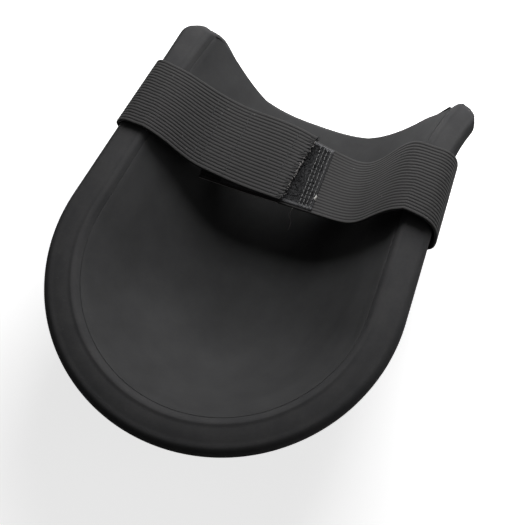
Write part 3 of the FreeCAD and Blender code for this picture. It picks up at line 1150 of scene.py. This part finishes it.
# %% Shared node groups
def new_group(name, inputs, outputs):
    group = bpy.data.node_groups.new(name, "ShaderNodeTree")
    for title, kind, value in inputs:
        socket = group.interface.new_socket(title, in_out="INPUT", socket_type=kind)
        if value is not None:
            socket.default_value = value
    for title, kind in outputs:
        group.interface.new_socket(title, in_out="OUTPUT", socket_type=kind)
    return group, group.nodes.new("NodeGroupInput"), group.nodes.new("NodeGroupOutput")


def maths(tree, kind, a, b=None):
    """A math node on sockets or numbers."""
    node = tree.nodes.new("ShaderNodeMath")
    node.operation = kind
    for i, value in enumerate((a, b)):
        if value is None:
            continue
        if isinstance(value, (int, float)):
            node.inputs[i].default_value = value
        else:
            tree.links.new(value, node.inputs[i])
    return node.outputs[0]


def noise(tree, vector, scale, detail=2.0, roughness=0.5):
    node = tree.nodes.new("ShaderNodeTexNoise")
    node.inputs["Detail"].default_value = detail
    node.inputs["Roughness"].default_value = roughness
    if isinstance(scale, (int, float)):
        node.inputs["Scale"].default_value = scale
    else:
        tree.links.new(scale, node.inputs["Scale"])
    tree.links.new(vector, node.inputs["Vector"])
    return node.outputs["Fac"]


def spread(tree, value, low, high, to_low=0.0, to_high=1.0):
    """Maps low..high to to_low..to_high, clamped."""
    node = tree.nodes.new("ShaderNodeMapRange")
    tree.links.new(value, node.inputs["Value"])
    for title, number in (("From Min", low), ("From Max", high), ("To Min", to_low),
                          ("To Max", to_high)):
        node.inputs[title].default_value = number
    return node.outputs["Result"]


def place(tree):
    return tree.nodes.new("ShaderNodeTexCoord").outputs["Object"]


def make_grain():
    """Fine pitted grain of a moulded or cast skin."""
    group, start, end = new_group(
        "fine_grain", [("Scale", "NodeSocketFloat", 2600.0)],
        [("Height", "NodeSocketFloat"), ("Shade", "NodeSocketFloat")])
    where = place(group)
    coarse = noise(group, where, start.outputs["Scale"], 3.0, 0.6)
    quarter = maths(group, "MULTIPLY", start.outputs["Scale"], 0.28)
    wide = noise(group, where, quarter, 2.0)
    height = maths(group, "ADD", maths(group, "MULTIPLY", coarse, 0.6),
                   maths(group, "MULTIPLY", wide, 0.4))
    group.links.new(height, end.inputs["Height"])
    group.links.new(spread(group, height, 0.35, 0.65), end.inputs["Shade"])
    return group


def make_mottle():
    """Broad uneven tone, and scattered scuffs."""
    group, start, end = new_group(
        "mottle", [("Scale", "NodeSocketFloat", 90.0)],
        [("Tone", "NodeSocketFloat"), ("Scuffs", "NodeSocketFloat")])
    where = place(group)
    broad = noise(group, where, start.outputs["Scale"], 4.0, 0.65)
    many = maths(group, "MULTIPLY", start.outputs["Scale"], 4.2)
    marks = noise(group, where, many, 5.0, 0.7)
    group.links.new(spread(group, broad, 0.32, 0.68), end.inputs["Tone"])
    group.links.new(spread(group, marks, 0.62, 0.74), end.inputs["Scuffs"])
    return group


ribs_in_uv = round(rib_count / (band_width * uv_scale), 2)
selvedge_blend = 0.8


def make_weave():
    """Threads that cross the band. UV is millimetres times uv_scale, along and across."""
    group, start, end = new_group(
        "weave", [("Across", "NodeSocketFloat", 160.0), ("Along", "NodeSocketFloat", ribs_in_uv)],
        [("Height", "NodeSocketFloat"), ("Shade", "NodeSocketFloat"),
         ("painted_groove_shade", "NodeSocketFloat"), ("Border", "NodeSocketFloat")])
    uv = group.nodes.new("ShaderNodeUVMap")
    uv.uv_map = "along_and_across"
    split_uv = group.nodes.new("ShaderNodeSeparateXYZ")
    group.links.new(uv.outputs["UV"], split_uv.inputs["Vector"])
    u = maths(group, "MULTIPLY", split_uv.outputs["X"], start.outputs["Across"])
    v = maths(group, "MULTIPLY", split_uv.outputs["Y"], start.outputs["Along"])
    odd = maths(group, "MULTIPLY", maths(group, "MODULO", maths(group, "FLOOR", v), 2.0), 0.5)
    turn = maths(group, "MULTIPLY", maths(group, "ADD", u, odd), 2 * math.pi)
    wave = spread(group, maths(group, "SINE", turn), -1.0, 1.0)
    fuzz = noise(group, place(group), 3800.0, 3.0, 0.7)
    height = maths(group, "ADD", maths(group, "MULTIPLY", wave, 0.6),
                   maths(group, "MULTIPLY", fuzz, 0.4))
    group.links.new(height, end.inputs["Height"])
    group.links.new(spread(group, height, 0.2, 0.85), end.inputs["Shade"])
    # Painted shade: darkest at the bottom of each groove between the modelled ribs.
    from_top = maths(group, "ABSOLUTE", maths(group, "SUBTRACT", maths(group, "FRACT", v), 0.5))
    group.links.new(spread(group, from_top, 0.24, 0.47), end.inputs["painted_groove_shade"])
    half_band = band_width * uv_scale / 2
    pale_from = half_band - selvedge * uv_scale
    pale_to = pale_from + selvedge_blend * uv_scale
    off_centre = maths(group, "ABSOLUTE", maths(group, "SUBTRACT", split_uv.outputs["Y"],
                                                half_band))
    group.links.new(spread(group, off_centre, pale_from, pale_to), end.inputs["Border"])
    return group


def make_dust():
    """Pale specks: the small bits of dust and lint that black goods always carry."""
    group, start, end = new_group(
        "dust", [("Scale", "NodeSocketFloat", 420.0), ("Share", "NodeSocketFloat", 0.03)],
        [("Specks", "NodeSocketFloat")])
    cells = group.nodes.new("ShaderNodeTexVoronoi")
    group.links.new(place(group), cells.inputs["Vector"])
    group.links.new(start.outputs["Scale"], cells.inputs["Scale"])
    pick = group.nodes.new("ShaderNodeSeparateColor")
    group.links.new(cells.outputs["Color"], pick.inputs["Color"])
    chosen = maths(group, "LESS_THAN", pick.outputs["Red"], start.outputs["Share"])
    close = maths(group, "LESS_THAN", cells.outputs["Distance"], 0.22)
    group.links.new(maths(group, "MULTIPLY", chosen, close), end.inputs["Specks"])
    return group


grain, mottle, weave, dust = make_grain(), make_mottle(), make_weave(), make_dust()
print("node groups:", [g.name for g in (grain, mottle, weave, dust)])

# %% [markdown]
# ## Materials
#
# Nearly every part of the pad is black, and the finish tells them apart: moulded rubber and the
# liner's skin are matt with a fine grain, the elastic has a faint sheen and painted shade in its
# grooves, the pile is the deepest black, and the stitches on the loop tape are pale.

# %% Material helpers
def new_material(name, roughness, specular):
    material = bpy.data.materials.new(name)
    material.use_nodes = True
    shader = material.node_tree.nodes["Principled BSDF"]
    shader.inputs["Roughness"].default_value = roughness
    shader.inputs["Specular IOR Level"].default_value = specular
    return material, material.node_tree, shader


def use(tree, group, **values):
    node = tree.nodes.new("ShaderNodeGroup")
    node.node_tree = group
    for title, value in values.items():
        node.inputs[title].default_value = value
    return node.outputs


def tint(tree, factor, first, second):
    """Mixes two colours, each a colour socket or a grey number triple."""
    node = tree.nodes.new("ShaderNodeMix")
    node.data_type = "RGBA"
    tree.links.new(factor, node.inputs["Factor"])
    for title, colour in (("A", first), ("B", second)):
        socket = [s for s in node.inputs if s.name == title and s.type == "RGBA"][0]
        if isinstance(colour, tuple):
            socket.default_value = (*colour, 1.0)
        else:
            tree.links.new(colour, socket)
    return [s for s in node.outputs if s.type == "RGBA"][0]


def bump(tree, shader, height, strength, distance):
    node = tree.nodes.new("ShaderNodeBump")
    node.inputs["Strength"].default_value = strength
    node.inputs["Distance"].default_value = distance
    tree.links.new(height, node.inputs["Height"])
    tree.links.new(node.outputs["Normal"], shader.inputs["Normal"])


def finish_with(material, slot_name, *objects):
    for obj in objects:
        obj.data.materials.clear()
        obj.data.materials.append(material)


# %% [markdown]
# The cup is matt and black. One flat grey would look like paint, so a fine grain, broad patches
# of tone, scuffs and a few specks of dust are mixed into it. The same grain gives the bump.

# %% Moulded rubber
rubber, tree, shader = new_material("moulded_rubber", 0.8, 0.2)
fine = use(tree, grain, Scale=2100.0)
broad = use(tree, mottle, Scale=70.0)
specks = use(tree, dust, Scale=300.0, Share=0.012)
colour = tint(tree, broad["Tone"], (0.042, 0.042, 0.044), (0.056, 0.055, 0.056))
colour = tint(tree, maths(tree, "MULTIPLY", fine["Shade"], 0.35), colour, (0.034, 0.034, 0.035))
colour = tint(tree, maths(tree, "MULTIPLY", broad["Scuffs"], 0.35), colour, (0.085, 0.083, 0.08))
colour = tint(tree, maths(tree, "MULTIPLY", specks["Specks"], 0.5), colour, (0.20, 0.19, 0.18))
tree.links.new(colour, shader.inputs["Base Color"])
bump(tree, shader, fine["Height"], 0.35, 0.00012)
finish_with(rubber, "shell_rubber", shell)

# %% [markdown]
# The liner's skin is as matt as the rubber. Its grain is finer and shallower, and it has neither
# scuffs nor dust.

# %% Liner skin
foam, tree, shader = new_material("liner_skin", 0.8, 0.16)
fine = use(tree, grain, Scale=3000.0)
broad = use(tree, mottle, Scale=45.0)
colour = tint(tree, broad["Tone"], (0.043, 0.043, 0.044), (0.056, 0.056, 0.057))
colour = tint(tree, maths(tree, "MULTIPLY", fine["Shade"], 0.25), colour, (0.036, 0.036, 0.037))
tree.links.new(colour, shader.inputs["Base Color"])
bump(tree, shader, fine["Height"], 0.22, 0.00008)
finish_with(foam, "liner_foam", liner)

# %% [markdown]
# The ribs are modelled already, so the material paints shade into the grooves between them, and
# adds the threads that cross the band as bump. Both follow the band's own UVs, so they turn with it
# at every bend.

# %% Elastic
elastic, tree, shader = new_material("ribbed_elastic", 0.84, 0.25)
shader.inputs["Sheen Weight"].default_value = 0.08
threads = use(tree, weave, Across=160.0, Along=ribs_in_uv)
broad = use(tree, mottle, Scale=110.0)
specks = use(tree, dust, Scale=520.0, Share=0.02)
colour = tint(tree, threads["Shade"], (0.037, 0.036, 0.036), (0.058, 0.0565, 0.0565))
colour = tint(tree, maths(tree, "MULTIPLY", broad["Tone"], 0.25), colour, (0.036, 0.035, 0.0355))
# Painted shade: the bottom of each groove between the ribs is darkened.
colour = tint(tree, threads["painted_groove_shade"], colour, (0.019, 0.0185, 0.019))
colour = tint(tree, maths(tree, "MULTIPLY", specks["Specks"], 0.4), colour, (0.16, 0.155, 0.15))
tree.links.new(colour, shader.inputs["Base Color"])
bump(tree, shader, threads["Height"], 0.35, 0.0002)
finish_with(elastic, "elastic", band_tab, band_left, band_under, band_right)

# %% [markdown]
# Both tapes are woven and darker than the elastic, with a paler edge on each side. Pile, hooks and
# threads are too thin for a pattern, so each is a plain fibre that varies a little in tone. Thread
# has three greys: pale for the loop tape's rows, dark for the other stitches, and the lightest
# for the loose thread and the frayed cords. The same lightest grey paints a highlight on the
# tail's black edge.

# %% Tapes, pile and hooks
selvedge_gain = 4.0


def tape_material(name, dark, light, roughness):
    """Dark woven ground with a paler selvedge along both edges."""
    material, tree, shader = new_material(name, roughness, 0.2)
    threads = use(tree, weave, Across=150.0, Along=140.0)
    pale = tuple(selvedge_gain * value for value in light)
    colour = tint(tree, threads["Border"], light, pale)
    colour = tint(tree, threads["Shade"], dark, colour)
    tree.links.new(colour, shader.inputs["Base Color"])
    bump(tree, shader, threads["Height"], 0.5, 0.00018)
    return material


def fibre_material(name, dark, light, roughness, specular):
    material, tree, shader = new_material(name, roughness, specular)
    broad = use(tree, mottle, Scale=600.0)
    colour = tint(tree, broad["Tone"], dark, light)
    tree.links.new(colour, shader.inputs["Base Color"])
    return material


finish_with(tape_material("loop_tape_base", (0.012, 0.012, 0.013), (0.045, 0.045, 0.047), 0.9),
            "loop_tape", loop_tape)
finish_with(tape_material("hook_tape_base", (0.012, 0.012, 0.013), (0.03, 0.03, 0.032), 0.8),
            "hook_tape", hook_tape)
finish_with(fibre_material("pile_fibre", (0.007, 0.007, 0.008), (0.024, 0.024, 0.026), 0.7, 0.2),
            "loop_tape", loop_pile)
finish_with(fibre_material("hook_fibre", (0.015, 0.015, 0.016), (0.03, 0.03, 0.032), 0.5, 0.4),
            "hook_tape", hook_field)
pale_thread = fibre_material("pale_thread", (0.10, 0.10, 0.10), (0.19, 0.19, 0.19), 0.75, 0.2)
dark_thread = fibre_material("dark_thread", (0.03, 0.03, 0.032), (0.065, 0.065, 0.068), 0.8, 0.2)
pale_fibre_and_edge_highlight = fibre_material("pale_fibre_and_edge_highlight", (0.22, 0.205, 0.20), (0.32, 0.305, 0.30), 0.8, 0.2)
finish_with(pale_thread, "thread", loop_stitches)
finish_with(pale_fibre_and_edge_highlight, "thread", loose_thread)
# On the tail's black edge this pale fibre is a painted highlight.
finish_with(pale_fibre_and_edge_highlight, "elastic", tab_fray_pale, tail_edge_highlight)
finish_with(dark_thread, "thread", hook_stitches, band_stitches, tab_overcast, tail_overcast)
finish_with(dark_thread, "elastic", tab_fray_dark)
lint_white, tree, shader = new_material("lint", 0.9, 0.1)
shader.inputs["Base Color"].default_value = (0.62, 0.61, 0.58, 1.0)
finish_with(lint_white, "thread", lint)
print("materials:", len(bpy.data.materials))

# %% [markdown]
# ## Floor, light and camera
#
# The pad lies on a plain white table. One soft square lamp stands beyond the open end, so the tops
# of the horns are lit most and the near rim is darker. A weaker panel stands on each side. The
# table glows for the camera only, which makes it paler without lighting the pad. The camera looks
# down into the cup from the closed end.

# %% Floor and background
floor_size = 4.0
floor_glow = 0.72
floor_drop = 0.05
corners = [(x * floor_size / mm, y * floor_size / mm, -floor_drop)
           for x, y in ((-1, -1), (1, -1), (1, 1), (-1, 1))]
floor = new_mesh("floor", corners, [(0, 1, 2, 3)])
floor_white, tree, shader = new_material("white_table", 0.9, 0.1)
shader.inputs["Base Color"].default_value = (0.93, 0.93, 0.93, 1.0)
path = tree.nodes.new("ShaderNodeLightPath")
shader.inputs["Emission Color"].default_value = (1.0, 1.0, 1.0, 1.0)
tree.links.new(spread(tree, path.outputs["Is Camera Ray"], 0.0, 1.0, 0.0, floor_glow),
               shader.inputs["Emission Strength"])
floor.data.materials.append(floor_white)

world = bpy.data.worlds.new("studio")
bpy.context.scene.world = world
world.use_nodes = True
tree = world.node_tree
ambient = 0.04
white_level = 1.05
background = tree.nodes["Background"]
background.inputs["Color"].default_value = (1.0, 1.0, 1.0, 1.0)
path = tree.nodes.new("ShaderNodeLightPath")
level = spread(tree, path.outputs["Is Camera Ray"], 0.0, 1.0, ambient, white_level)
tree.links.new(level, background.inputs["Strength"])

# %% [markdown]
# The window lamp is the strongest, and the panel on the right is stronger than the one on the left.

# %% Lamps
def area_lamp(name, place_at, aim_at, size, power):
    data = bpy.data.lights.new(name, "AREA")
    data.shape = "SQUARE"
    data.size = size
    data.energy = power
    lamp = bpy.data.objects.new(name, data)
    lamp.location = Vector(place_at)
    lamp.rotation_euler = (Vector(aim_at) - Vector(place_at)).to_track_quat("-Z", "Y").to_euler()
    bpy.context.scene.collection.objects.link(lamp)
    return lamp


key = area_lamp("window", (0.01, 0.28, 0.25), (0.0, 0.0, 0.03), 0.26, 1.6)
left_fill = area_lamp("left_panel", (-0.55, 0.10, 0.30), (0, 0, 0.05), 0.5, 0.2)
right_fill = area_lamp("right_panel", (0.60, 0.10, 0.30), (0, 0, 0.05), 0.5, 0.45)

# %% [markdown]
# The camera stands on a ball round a target inside the cup, and is rolled about its line of sight.

# %% Camera
camera_azimuth = math.radians(33.91)
camera_elevation = math.radians(68.92)
camera_roll = math.radians(-10.96)
camera_distance = 0.4417
camera_target = Vector((0.0090, 0.0030, 0.040))
sensor_width = 36.0
focal_length = 58.29


def add_camera():
    """Camera on a ball round its target, rolled about its own line of sight."""
    back = Vector((math.sin(camera_azimuth) * math.cos(camera_elevation),
                   -math.cos(camera_azimuth) * math.cos(camera_elevation),
                   math.sin(camera_elevation)))
    right = Vector((0, 0, 1)).cross(back).normalized()
    up = back.cross(right)
    c, s = math.cos(camera_roll), math.sin(camera_roll)
    axes = Matrix((right * c + up * s, up * c - right * s, back)).transposed()
    data = bpy.data.cameras.new("camera")
    data.sensor_width = sensor_width
    data.lens = focal_length
    camera = bpy.data.objects.new("camera", data)
    place_at = Matrix.Translation(camera_target + back * camera_distance)
    camera.matrix_world = place_at @ axes.to_4x4()
    bpy.context.scene.collection.objects.link(camera)
    bpy.context.scene.camera = camera
    return camera


add_camera()
bpy.context.scene.view_settings.view_transform = "Standard"
